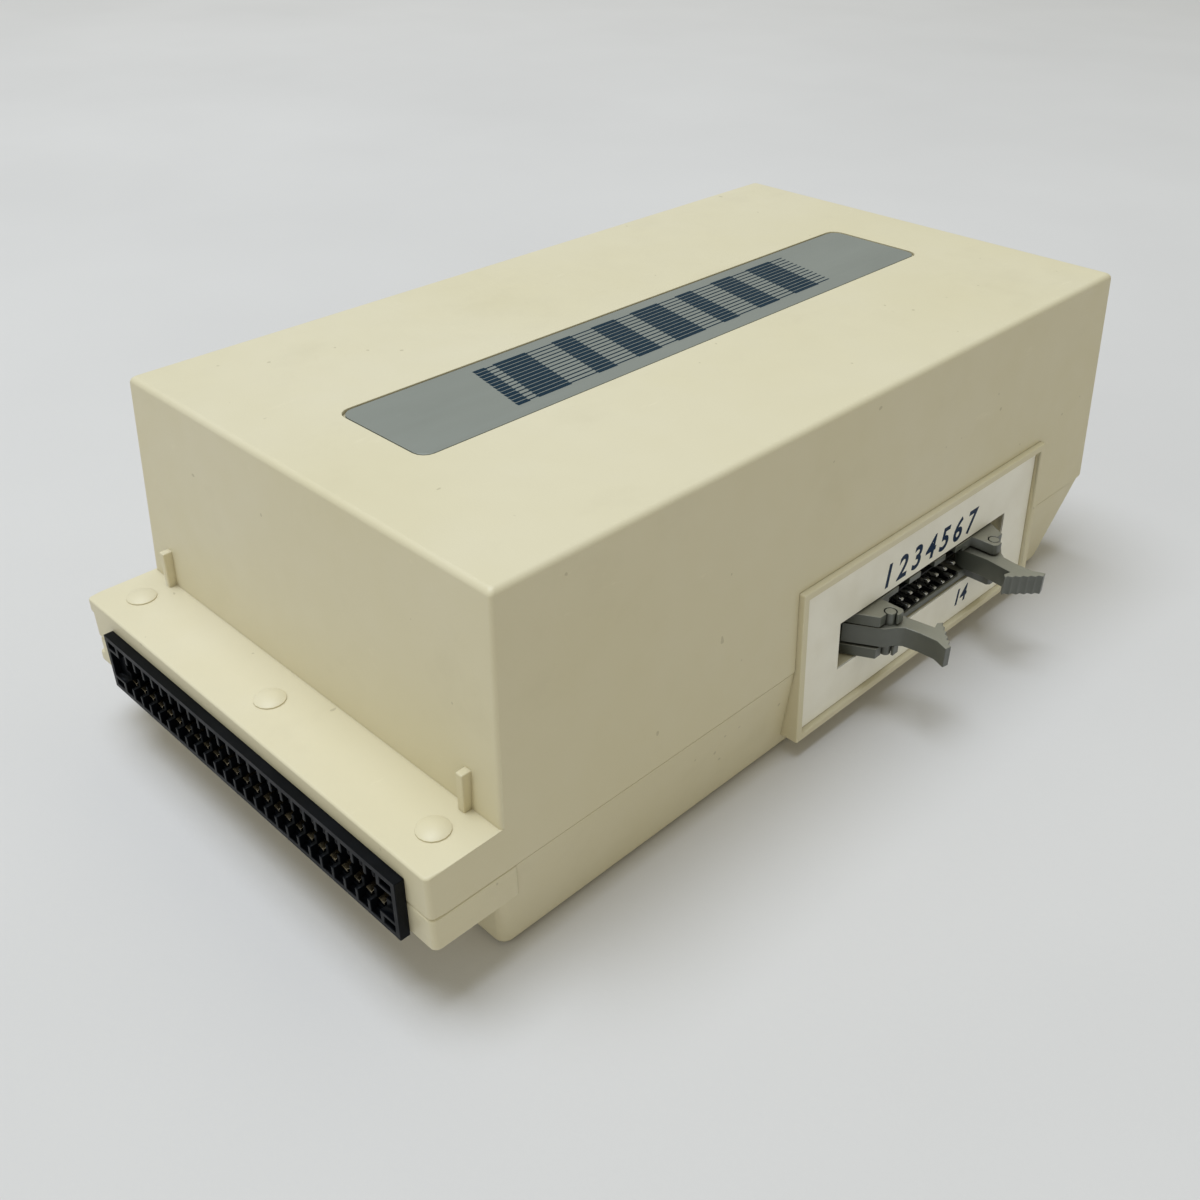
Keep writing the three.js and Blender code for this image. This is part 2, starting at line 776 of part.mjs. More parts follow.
// Square pins, held by a spacer behind the header, drawn to a point in front and turned down to the board
function headerPins() {
  const tip = caseRight + pinOutreach;
  const half = pinSize / 2;
  const rows = [-1, 1].map((level) => {
    const z = portZ + level * pitch / 2;
    const tail = shroudBack - pitch - (level > 0 ? pitch : 0);
    return [
      [boardTop, tail - half],
      [boardTop, tail + half],
      [z - half, tail + half],
      [z - half, tip - pinTipTaper],
      [z - half * pinTipShare, tip],
      [z + half * pinTipShare, tip],
      [z + half, tip - pinTipTaper],
      [z + half, tail - half],
    ];
  });
  const pins = rows.flatMap((outline) => pinPlaces.map(
    (y) => slab('zx', outline, y - half, y + half)));
  const spacer = portBox(shroudBack - spacerDepth, shroudBack, pinColumns * pitch / 2, pitch / 2 + half);
  return geometryOf(join([spacer, ...pins]));
}

// Outline of a latch as shares of its length: how far out from the back of its foot, and how far away
// from the port's middle beyond the pivot
const latchOuterShares = [
  [0, 0.336], [0.371, 0.127], [0.436, 0.023], [0.502, -0.036], [0.658, -0.062], [0.847, -0.068],
  [0.984, -0.01],
];
const gripStartShares = [1, -0.088];
const gripEndShares = [0.717, -0.394];
const latchInnerShares = [
  [0.678, -0.342], [0.704, -0.257], [0.404, -0.212], [0.111, -0.225], [0, -0.18],
];

// Points of the ribbed face that a thumb pushes
function gripOutline() {
  const across = gripEndShares[0] - gripStartShares[0];
  const away = gripEndShares[1] - gripStartShares[1];
  const deep = gripRibDepth / latchLength / Math.hypot(across, away);
  const points = [];
  for (let step = 0; step <= 2 * gripRibs; step += 1) {
    const share = step / (2 * gripRibs);
    const groove = step % 2 === 1 ? deep : 0;
    points.push([
      gripStartShares[0] + across * share + away * groove,
      gripStartShares[1] + away * share - across * groove,
    ]);
  }
  return points;
}

function latch(side) {
  const outline = [...latchOuterShares, ...gripOutline(), ...latchInnerShares].map(([out, away]) => [
    caseRight - latchFoot + out * latchLength,
    portY + side * (pivotPlace + away * latchLength),
  ]);
  const arm = slab('xy', outline, portZ - latchThickness / 2, portZ + latchThickness / 2);
  return geometryOf(join([arm,
    post(pivotX, portY + side * pivotPlace, pivotRadius, shroudBottom, shroudTop)]));
}

const boardLeft = -caseRight + boardSideGap;
const boardRight = caseRight - boardSideGap;
const boardFront = caseFront + boardFrontSetback;
const boardBack = caseBack - boardBackSetback;

function mainBoard() {
  const plate = box(boardLeft, boardRight, boardFront, boardBack, boardBottom, boardTop);
  const holes = towerPlaces.map(
    ([x, y]) => post(x, y, towerBore, boardBottom - cutOverrun, boardTop + cutOverrun, smallTurnSteps));
  return geometryOf(cut(plate, holes));
}

// Middles of pieces of the given lengths, laid out between two ends with equal gaps
function spread(from, to, lengths) {
  const used = lengths.reduce((sum, length) => sum + length);
  const gap = (to - from - used) / (lengths.length + 1);
  let end = from;
  return lengths.map((length) => {
    end += gap + length;
    return end - length / 2;
  });
}

function chipLength(columns) {
  return columns * pitch + chipOverhang;
}

// Two wide columns of components stand side by side between the left towers and the header's tails,
// behind the edge connector's tails
const socketWidth = chipRowSpan + socketRail;
const smallChipWidth = smallChipRowSpan + legThickness;
const [firstColumn, secondColumn] = spread(-caseRight + towerSideInset + towerRadius,
  shroudBack - 2 * pitch - pinSize / 2, [socketWidth, socketWidth]);
const columnFront = connectorBack + contactTailReach + pitch;
const [firstDisc, firstSocket, secondDisc, interfaceMiddle] = spread(columnFront, boardBack,
  [discThickness, chipLength(romColumns), discThickness, chipLength(interfaceColumns)]);
const [thirdDisc, secondSocket, networkMiddle, logicMiddle, canMiddle] = spread(columnFront, boardBack,
  [discThickness, chipLength(romColumns), networkLength, chipLength(logicColumns), 2 * canRadius]);

// X of pieces that share the second column's width
function beside(widths) {
  return spread(secondColumn - socketWidth / 2, secondColumn + socketWidth / 2, widths);
}

const [networkX, firstLogic] = beside([networkThickness, smallChipWidth]);
const [secondLogic, thirdLogic] = beside([smallChipWidth, smallChipWidth]);
const [besideDisc, besideCan] = beside([2 * discRadius, 2 * canRadius]);

// A narrow column stands between the front right tower and the header's front cheek
const sideColumn = (secondColumn + socketWidth / 2 + boardRight) / 2;
const [sideCan, ...sideRows] = spread(caseFront + towerFrontSetback + towerRadius, portY - cheekOuterLimit,
  [2 * canRadius, discThickness, ...Array(resistorCount).fill(2 * resistorRadius)]);
const [sideDisc, ...resistorRows] = sideRows;

const socketPlaces = [[firstColumn, firstSocket], [secondColumn, secondSocket]];
const logicChipPlaces = [
  [firstLogic, networkMiddle], [secondLogic, logicMiddle], [thirdLogic, logicMiddle],
];
const canPlaces = [[besideCan, canMiddle], [sideColumn, sideCan]];
const discPlaces = [
  [firstColumn, firstDisc], [firstColumn, secondDisc], [secondColumn, thirdDisc],
  [besideDisc, canMiddle], [sideColumn, sideDisc],
];

// A chip with two rows of legs along Y, standing on a level
function chip([x, y], columns, rowSpan, base) {
  const bodyHalf = (rowSpan - chipBodyMargin) / 2;
  const halfLength = chipLength(columns) / 2;
  const bottom = base + chipStandoff;
  const shoulder = bottom + chipHeight / 2;
  const body = box(x - bodyHalf, x + bodyHalf, y - halfLength, y + halfLength, bottom,
    bottom + chipHeight);
  const half = legThickness / 2;
  const legs = [-1, 1].flatMap((side) => Array.from({ length: columns }, (_, i) => {
    const place = y + (i - (columns - 1) / 2) * pitch;
    return slab('zx', [
      [shoulder + half, x + side * (bodyHalf - legShoulder)],
      [shoulder + half, x + side * (rowSpan / 2 + half)],
      [base, x + side * (rowSpan / 2 + half)],
      [base, x + side * (rowSpan / 2 - half)],
      [shoulder - half, x + side * (rowSpan / 2 - half)],
      [shoulder - half, x + side * (bodyHalf - legShoulder)],
    ], place - legWidth / 2, place + legWidth / 2);
  }));
  const notch = post(x, y - halfLength, chipNotchRadius, bottom + chipHeight - chipNotchDepth,
    bottom + chipHeight + cutOverrun, smallTurnSteps);
  return cut(join([body, ...legs]), [notch]);
}

// An open-frame socket: two rails joined by bars that lie a little lower
function romSocket([x, y]) {
  const halfLength = romColumns * pitch / 2;
  const halfWidth = (chipRowSpan + socketRail) / 2;
  const inner = halfWidth - socketRail;
  const frame = box(x - halfWidth, x + halfWidth, y - halfLength, y + halfLength, boardTop, socketTop);
  const channel = box(x - inner, x + inner, y - halfLength - cutOverrun, y + halfLength + cutOverrun,
    socketTop - chipStandoff, socketTop + cutOverrun);
  const windows = [-1, 1].map((side) => {
    const near = y + side * socketBar / 2;
    const far = y + side * (halfLength - socketBar);
    return box(x - inner, x + inner, Math.min(near, far), Math.max(near, far),
      boardTop - cutOverrun, socketTop + cutOverrun);
  });
  return geometryOf(cut(frame, [channel, ...windows]));
}

// An upright can with a crimped groove above the foot
function electrolyticCapacitor([x, y]) {
  return geometryOf(turned(x, y, [
    [0, boardTop],
    [canRadius - canEdge, boardTop],
    [canRadius, boardTop + canEdge],
    [canRadius, boardTop + canGrooveLift],
    [canRadius - canGroove, boardTop + canGrooveLift + canEdge],
    [canRadius, boardTop + canGrooveLift + 2 * canEdge],
    [canRadius, boardTop + canHeight - canEdge],
    [canRadius - canEdge, boardTop + canHeight],
    [0, boardTop + canHeight],
  ]));
}

// An upright disc on two leads
function ceramicCapacitor([x, y]) {
  const middle = boardTop + discLift + discRadius;
  const disc = new THREE.CylinderGeometry(discRadius, discRadius, discThickness, turnSteps);
  disc.translate(x, y, middle);
  const leads = [-1, 1].map(
    (side) => post(x + side * pitch / 2, y, leadRadius, boardTop, middle, smallTurnSteps));
  return geometryOf(join([solidOf(disc), ...leads]));
}

function resistorNetwork(x, y) {
  const body = box(x - networkThickness / 2, x + networkThickness / 2, y - networkLength / 2,
    y + networkLength / 2, boardTop + chipStandoff, boardTop + networkHeight);
  const legs = Array.from({ length: networkLegs }, (_, i) => {
    const place = y + (i - (networkLegs - 1) / 2) * pitch;
    return box(x - legThickness / 2, x + legThickness / 2, place - legWidth / 2,
      place + legWidth / 2, boardTop, boardTop + networkHeight / 2);
  });
  return geometryOf(join([body, ...legs]));
}

// A lying resistor with thicker ends and bent leads
function resistor([x, y]) {
  const z = boardTop + resistorRadius;
  const half = resistorLength / 2;
  const span = resistorSpan / 2;
  const body = new THREE.LatheGeometry([
    [0, -half],
    [resistorWaist, -half],
    [resistorRadius, -half + resistorCap / 2],
    [resistorWaist, -half + resistorCap],
    [resistorWaist, half - resistorCap],
    [resistorRadius, half - resistorCap / 2],
    [resistorWaist, half],
    [0, half],
  ].map(([radius, along]) => new THREE.Vector2(radius, along)), smallTurnSteps);
  body.rotateZ(-Math.PI / 2);
  body.translate(x, y, z);
  const lead = slab('zx', [
    [boardTop, x - span - leadRadius],
    [z + leadRadius, x - span - leadRadius],
    [z + leadRadius, x + span + leadRadius],
    [boardTop, x + span + leadRadius],
    [boardTop, x + span - leadRadius],
    [z - leadRadius, x + span - leadRadius],
    [z - leadRadius, x - span + leadRadius],
    [boardTop, x - span + leadRadius],
  ], y - leadRadius, y + leadRadius);
  return geometryOf(join([solidOf(body), lead]));
}

// A screw that comes up through the tub's tower and the board into the cover's tower
function caseScrew([x, y]) {
  const bottom = screwWell - screwHeadHeight;
  const screw = turned(x, y, [
    [0, bottom],
    [screwHeadRadius - crossWidth / 2, bottom],
    [screwHeadRadius, bottom + crossWidth / 2],
    [screwHeadRadius, screwWell],
    [screwShankRadius, screwWell],
    [screwShankRadius, boardTop + screwBite - screwShankRadius],
    [0, boardTop + screwBite],
  ], smallTurnSteps);
  const arm = screwHeadRadius - crossWidth;
  const cross = [[arm, crossWidth / 2], [crossWidth / 2, arm]].map(([across, along]) => box(
    x - across, x + across, y - along, y + along, bottom - cutOverrun, bottom + crossDepth));
  return geometryOf(cut(screw, cross));
}

const looks = {
  caseCream: { color: 0xddd6bc, roughness: 0.55, metalness: 0 },
  badgeGrey: { color: 0x8c9495, roughness: 0.35, metalness: 0.5 },
  labelWhite: { color: 0xd9d6c6, roughness: 0.5, metalness: 0 },
  connectorBlack: { color: 0x14151a, roughness: 0.45, metalness: 0 },
  headerGrey: { color: 0x8b8c8a, roughness: 0.5, metalness: 0 },
  pinGold: { color: 0xc9a24a, roughness: 0.3, metalness: 1 },
  boardGreen: { color: 0x2c5b38, roughness: 0.5, metalness: 0 },
  chipBlack: { color: 0x1c1c1e, roughness: 0.5, metalness: 0 },
  canBlue: { color: 0x24406e, roughness: 0.4, metalness: 0 },
  discOchre: { color: 0xb5762e, roughness: 0.6, metalness: 0 },
  networkYellow: { color: 0xc7a23c, roughness: 0.5, metalness: 0 },
  resistorTan: { color: 0xc8a877, roughness: 0.6, metalness: 0 },
  screwSteel: { color: 0xa9abad, roughness: 0.35, metalness: 1 },
};

const expansionBox = new THREE.Group();

function add(name, geometry, look) {
  const mesh = new THREE.Mesh(geometry, new THREE.MeshStandardMaterial(look));
  mesh.name = name;
  expansionBox.add(mesh);
}

add('top_cover', topCover(), looks.caseCream);
add('lower_shell', lowerShell(), looks.caseCream);
add('top_badge', topBadge(), looks.badgeGrey);
add('port_bezel', portBezel(), looks.caseCream);
add('port_label', portLabel(), looks.labelWhite);
add('edge_connector_body', edgeConnectorBody(), looks.connectorBlack);
add('edge_contacts_upper', edgeContacts(1), looks.pinGold);
add('edge_contacts_lower', edgeContacts(-1), looks.pinGold);
add('header_shroud', headerShroud(), looks.headerGrey);
add('header_insulator', headerInsulator(), looks.connectorBlack);
add('header_pins', headerPins(), looks.pinGold);
add('front_latch', latch(-1), looks.headerGrey);
add('rear_latch', latch(1), looks.headerGrey);
add('main_board', mainBoard(), looks.boardGreen);
add('resistor_network', resistorNetwork(networkX, networkMiddle), looks.networkYellow);
add('interface_chip', geometryOf(chip([firstColumn, interfaceMiddle], interfaceColumns, chipRowSpan,
  boardTop)), looks.chipBlack);
socketPlaces.forEach((place, i) => {
  add(`rom_socket_${i + 1}`, romSocket(place), looks.connectorBlack);
  add(`rom_chip_${i + 1}`, geometryOf(chip(place, romColumns, chipRowSpan, socketTop)),
    looks.chipBlack);
});
logicChipPlaces.forEach((place, i) => add(`logic_chip_${i + 1}`,
  geometryOf(chip(place, logicColumns, smallChipRowSpan, boardTop)), looks.chipBlack));
canPlaces.forEach((place, i) => add(`electrolytic_capacitor_${i + 1}`, electrolyticCapacitor(place),
  looks.canBlue));
discPlaces.forEach((place, i) => add(`ceramic_capacitor_${i + 1}`, ceramicCapacitor(place),
  looks.discOchre));
resistorRows.forEach((row, i) => add(`resistor_${i + 1}`, resistor([sideColumn, row]),
  looks.resistorTan));
towerPlaces.forEach((place, i) => add(`case_screw_${i + 1}`, caseScrew(place), looks.screwSteel));

export default expansionBox;
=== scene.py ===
"""The looks of a plug-in expansion box for a home computer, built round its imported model."""

import json
import math
from collections import namedtuple

import bmesh
import bpy
from mathutils import Matrix, Vector


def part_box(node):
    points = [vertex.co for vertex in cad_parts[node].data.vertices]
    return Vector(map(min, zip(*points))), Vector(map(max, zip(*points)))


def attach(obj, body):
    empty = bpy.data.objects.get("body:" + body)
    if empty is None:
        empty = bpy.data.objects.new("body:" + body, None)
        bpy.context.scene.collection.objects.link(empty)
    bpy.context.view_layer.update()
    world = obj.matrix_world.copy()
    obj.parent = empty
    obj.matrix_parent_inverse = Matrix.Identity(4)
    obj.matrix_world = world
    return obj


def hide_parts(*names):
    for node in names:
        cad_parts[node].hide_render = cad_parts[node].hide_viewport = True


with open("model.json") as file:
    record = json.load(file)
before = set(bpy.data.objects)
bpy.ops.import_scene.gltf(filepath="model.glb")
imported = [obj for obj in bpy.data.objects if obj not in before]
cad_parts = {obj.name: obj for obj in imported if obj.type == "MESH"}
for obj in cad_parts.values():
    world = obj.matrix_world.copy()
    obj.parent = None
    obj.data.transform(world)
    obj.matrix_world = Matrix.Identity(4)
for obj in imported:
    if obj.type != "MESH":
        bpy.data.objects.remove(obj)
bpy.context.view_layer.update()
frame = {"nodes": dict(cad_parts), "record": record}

MM = 0.001

# Camera, as fitted to the case's edges in the photograph
CAMERA_PLACE = Vector((125.86, -136.30, 127.88)) * MM
CAMERA_RIGHT = Vector((0.70647, 0.70774, 0.00091))
CAMERA_FORWARD = Vector((-0.58789, 0.58755, -0.55603))
FOCAL_PIXELS = 1260.3
IMAGE_PIXELS = 1200
SENSOR = 36.0
NEAR_CLIP = 1 * MM
FAR_CLIP = 50.0

# Edge roundings of the moulded pieces
CASE_EDGE = 0.45 * MM
BEZEL_EDGE = 0.25 * MM
HEADER_EDGE = 0.12 * MM
CONNECTOR_EDGE = 0.1 * MM
BADGE_EDGE = 0.1 * MM
PRINT_EDGE = 0.04 * MM
ROUNDING_STEPS = 3
FLAT_FACE_WEIGHT = 100

# The finer piece that stands for a node, and the rounding of its edges
FINER_PIECES = {
    "top_cover": ("cover_moulding", CASE_EDGE),
    "lower_shell": ("tub_moulding", CASE_EDGE),
    "port_bezel": ("bezel_moulding", BEZEL_EDGE),
    "port_label": ("label_plate", PRINT_EDGE),
    "top_badge": ("badge_plate", BADGE_EDGE),
    "edge_connector_body": ("connector_moulding", CONNECTOR_EDGE),
    "edge_contacts_upper": ("upper_contact_row", PRINT_EDGE),
    "edge_contacts_lower": ("lower_contact_row", PRINT_EDGE),
    "header_shroud": ("header_moulding", HEADER_EDGE),
    "header_insulator": ("header_lining", PRINT_EDGE),
    "header_pins": ("pin_block", PRINT_EDGE),
    "front_latch": ("front_latch_moulding", HEADER_EDGE),
    "rear_latch": ("rear_latch_moulding", HEADER_EDGE),
}

# Materials of the pieces that don't have their slot's own
OWN_MATERIALS = {"header_insulator": "insulator_black", "header_pins": "pin_tin"}

# An edge's rounding takes at most a share of the shortest edge beside it, and none where that is tiny
TINY_EDGE = 0.15 * MM
ROOM_SHARE = 0.32
ROOM_SHARES = {"top_cover": 0.16}

# Two edges that meet at a point lead on from each other up to this cosine
ALONG_COSINE = -0.7

# Angles up to which faces are one flat face, and above which an edge is drawn sharp or is rounded
FLAT_ANGLE = math.radians(1)
FACET_ANGLE = math.radians(32)
SHARP_ANGLE = math.radians(50)

# Points nearer than this are one: those of the solids, and those of the roundings and numbers
MERGE_DISTANCE = 0.002 * MM
FINE_MERGE = 0.0005 * MM

# Shares of the full rounding along the seam between cover and tub
SEAM_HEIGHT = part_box("top_cover")[0][2]
SEAM_BAND = 0.5 * MM
SEAM_SHARES = {"top_cover": 0.06, "lower_shell": 0.4}

# Sides with which pieces lie on the case; the edges round them stay sharp
SEATS = {
    "port_bezel": Vector((-1, 0, 0)),
    "port_label": Vector((-1, 0, 0)),
    "top_badge": Vector((0, 0, -1)),
}
SEAT_COSINE = 0.9

# The bezel closes most of the gap round it in the cover's wall
BEZEL_SPREAD = 0.09 * MM
BEZEL_BAND = 0.05 * MM

# Ink stands this high on the badge and the label, and a step higher where bars cross lines
INK_HEIGHT = 0.02 * MM
INK_STEP = INK_HEIGHT / 4

# Print on the badge: lines along it that swell where slanted bars cross them
PRINT_WIDTH = 13.2 * MM
PRINT_LENGTH = 70.6 * MM
PRINT_LINES = 13
PRINT_THIN_SHARE = 0.28
PRINT_THICK_SHARE = 0.8
PRINT_SLANT_SHARE = 0.22
PRINT_END_BAR = 2.2 * MM
PRINT_SHIFT = 0.35 * MM
PRINT_BARS = 7
PRINT_BAR_SHARES = (0.62, 0.38, 0.5)

# Numbers of the header's columns on the label, and the number of its pins
PIN_COLUMNS = 7
PIN_ROWS = 2
DIGIT_HEIGHT = 3.9 * MM
DIGIT_LIFT = 1.4 * MM
DIGIT_SLANT = 0.22
DIGIT_SPREAD_SHARE = 1.35
DIGIT_WEIGHT_SHARE = 0.034
DIGIT_STEPS = 4
COUNT_HEIGHT = 2.9 * MM
COUNT_DROP = 4.6 * MM
CAP_SHARE = 0.7
COVER_DRAFT = 0.05

# A noise pattern: its features a metre, detail, roughness and stretch, and the values between which
# it is read (low, high) and to which these are mapped (least, most)
Pattern = namedtuple("Pattern", "scale detail roughness stretch low high least most",
                     defaults=(3, 0.55, None, 0.3, 0.7, 0.0, 1.0))

# Marks in a surface: their pattern, height and strength
Marks = namedtuple("Marks", "pattern height strength")

# Case plastic
CASE_SPECULAR = 0.42
# Grime colour of the stains and specks, also the colour of the painted shade in the corners
CASE_GRIME_AND_SHADE = (142, 130, 96)
CASE_AGEING = Pattern(14, detail=4, low=0.35, high=0.68)
CASE_CLOUDS = Pattern(160, detail=5, low=0.40, high=0.75, most=0.22)
CASE_STAINS = Pattern(62, detail=5, roughness=0.65, stretch=(1, 0.7, 1), low=0.56, high=0.74, most=0.07)
CASE_SPECKS = Pattern(700, detail=0, low=0.865, high=0.885, most=0.35)
CASE_SCUFFS = Pattern(260, detail=6, roughness=0.75, stretch=(1, 0.25, 1), low=0.64, high=0.72, most=0.35)
SCUFF_GAIN = 1.12
# Reach and strength of the painted shade in the case's corners
CORNER_SHADE_REACH = 1.2 * MM
CORNER_SHADE_SHARE = 0.45
CASE_GLOSS = Pattern(220, least=0.40, most=0.52)
CASE_GRAIN = Marks(Pattern(3200, detail=2), 0.02 * MM, 0.55)
CASE_SINK = Pattern(45, detail=2)
CASE_SINK_SHARE = 6.0

# Small moulded pieces; their gloss varies this much below and above their roughness
PLASTIC_DRIFT = Pattern(120, detail=4, low=0.35)
PLASTIC_RUBBING = Pattern(700, detail=5, roughness=0.7, low=0.62, high=0.74, most=0.5)
PLASTIC_GLOSS = Pattern(400)
PLASTIC_GLOSS_BELOW = 0.07
PLASTIC_GLOSS_ABOVE = 0.08
PLASTIC_GRAIN_DETAIL = 2
PLASTIC_GRAIN_STRENGTH = 0.6

# Badge: satin metallic paint
BADGE_METALLIC = 0.35
BADGE_DRIFT = Pattern(70, detail=4, stretch=(1, 0.4, 1))
BADGE_SCRATCHES = Pattern(500, detail=6, roughness=0.8, stretch=(1, 0.12, 1),
                          low=0.66, high=0.72, most=0.25)
SCRATCH_GAIN = 1.5
BADGE_STREAKS = Pattern(900, detail=4, stretch=(1, 0.02, 1), least=0.39, most=0.47)
BADGE_STREAK_HEIGHT = 0.01 * MM
BADGE_STREAK_STRENGTH = 0.12

# Plated and drawn metal; its gloss varies this much below and above its roughness
METAL_DULLING = Pattern(600, detail=4, low=0.4)
METAL_GLOSS = Pattern(900)
METAL_GLOSS_BELOW = 0.08
METAL_GLOSS_ABOVE = 0.1
METAL_MARKS = Marks(Pattern(2400, detail=2, stretch=(1, 0.2, 1)), 0.006 * MM, 0.5)

# Circuit board: lacquer over tracks
TRACK_SCALE = 90
TRACK_WIDTH = 0.035
BOARD_ROUGHNESS = 0.35
BOARD_DRIFT = Pattern(60, low=0.35, most=0.35)
BOARD_MARKS = Marks(Pattern(1500, detail=2), 0.02 * MM, 0.4)

# Printed ink
INK_SPECULAR = 0.1
INK_THINNING = Pattern(1300, detail=5, roughness=0.7, low=0.5, high=0.75, most=0.7)
INK_GLOSS = Pattern(800, least=0.4, most=0.52)
INK_MARKS = Marks(Pattern(2600, detail=2), 0.006 * MM, 0.5)

# Floor
FLOOR_HALF = 6.0
FLOOR_ROUGHNESS = 0.85
FLOOR_SPECULAR = 0.15
FLOOR_CLOUDS = Pattern(7)
FLOOR_TOOTH = Marks(Pattern(900, detail=4), 0.08 * MM, 0.35)

# Painted shade in the recesses of the small pieces, and painted light on what looks up
RECESS_SHADE_REACH = 5 * MM
RECESS_SHADE_SHARE = 0.85
TOP_LIGHT_SHARE = 0.9

# How openness is sampled, and the shares of it at which a place counts as a corner and as open
CORNER_SAMPLES = 8
CLOSED_CORNER = 0.25
OPEN_CORNER = 0.75

# Upward parts of a face's direction at which the painted light on top starts and is full
TOP_LIGHT_SLOPE = 0.4
TOP_LIGHT_LEVEL = 0.95

# Lamps: place, the point they face, size, power and colour
Lamp = namedtuple("Lamp", "place target size power colour")
AREA_LAMPS = {
    "ceiling": Lamp((-0.24, -0.17, 1.7), (0, 0, 0), 1.1, 24.6, (0.80, 0.88, 1.0)),
    "front_fill": Lamp((-0.5, -1.3, 0.7), (0, 0, 0.02), 0.9, 2.7, (0.90, 0.97, 1.0)),
    "side_fill": Lamp((1.2, -0.7, 0.5), (0, 0, 0.02), 0.9, 1.2, (1.0, 0.97, 0.82)),
}
BACKDROP_LAMP = Lamp((-0.85, 0.75, 1.2), (-0.75, 0.55, 0), 0.2, 6.5, (1.0, 1.0, 1.0))
BACKDROP_CONE = math.radians(62)
BACKDROP_BLEND = 1.0
WORLD_COLOUR = (1.0, 0.985, 0.81, 1.0)
WORLD_STRENGTH = 0.385

# The curve from 8-bit to linear colour
FULL_BYTE = 255
CURVE_START = 0.04045
CURVE_SLOPE = 12.92
CURVE_SHIFT = 0.055
CURVE_POWER = 2.4

# Numbers of the colour sockets on a mixing node
MIX_FIRST = 6
MIX_SECOND = 7
MIX_RESULT = 2


def srgb(red, green, blue):
    """A linear colour from 8-bit values."""
    def linear(value):
        share = value / FULL_BYTE
        if share <= CURVE_START:
            return share / CURVE_SLOPE
        return ((share + CURVE_SHIFT) / (1 + CURVE_SHIFT)) ** CURVE_POWER
    return (linear(red), linear(green), linear(blue), 1.0)


def paler(colour, gain):
    """A linear colour made brighter."""
    return tuple(min(1.0, part * gain) for part in colour[:3]) + (1.0,)


def spread(pattern, middle, below, above):
    """The pattern with values that vary round a middle."""
    return pattern._replace(least=middle - below, most=middle + above)


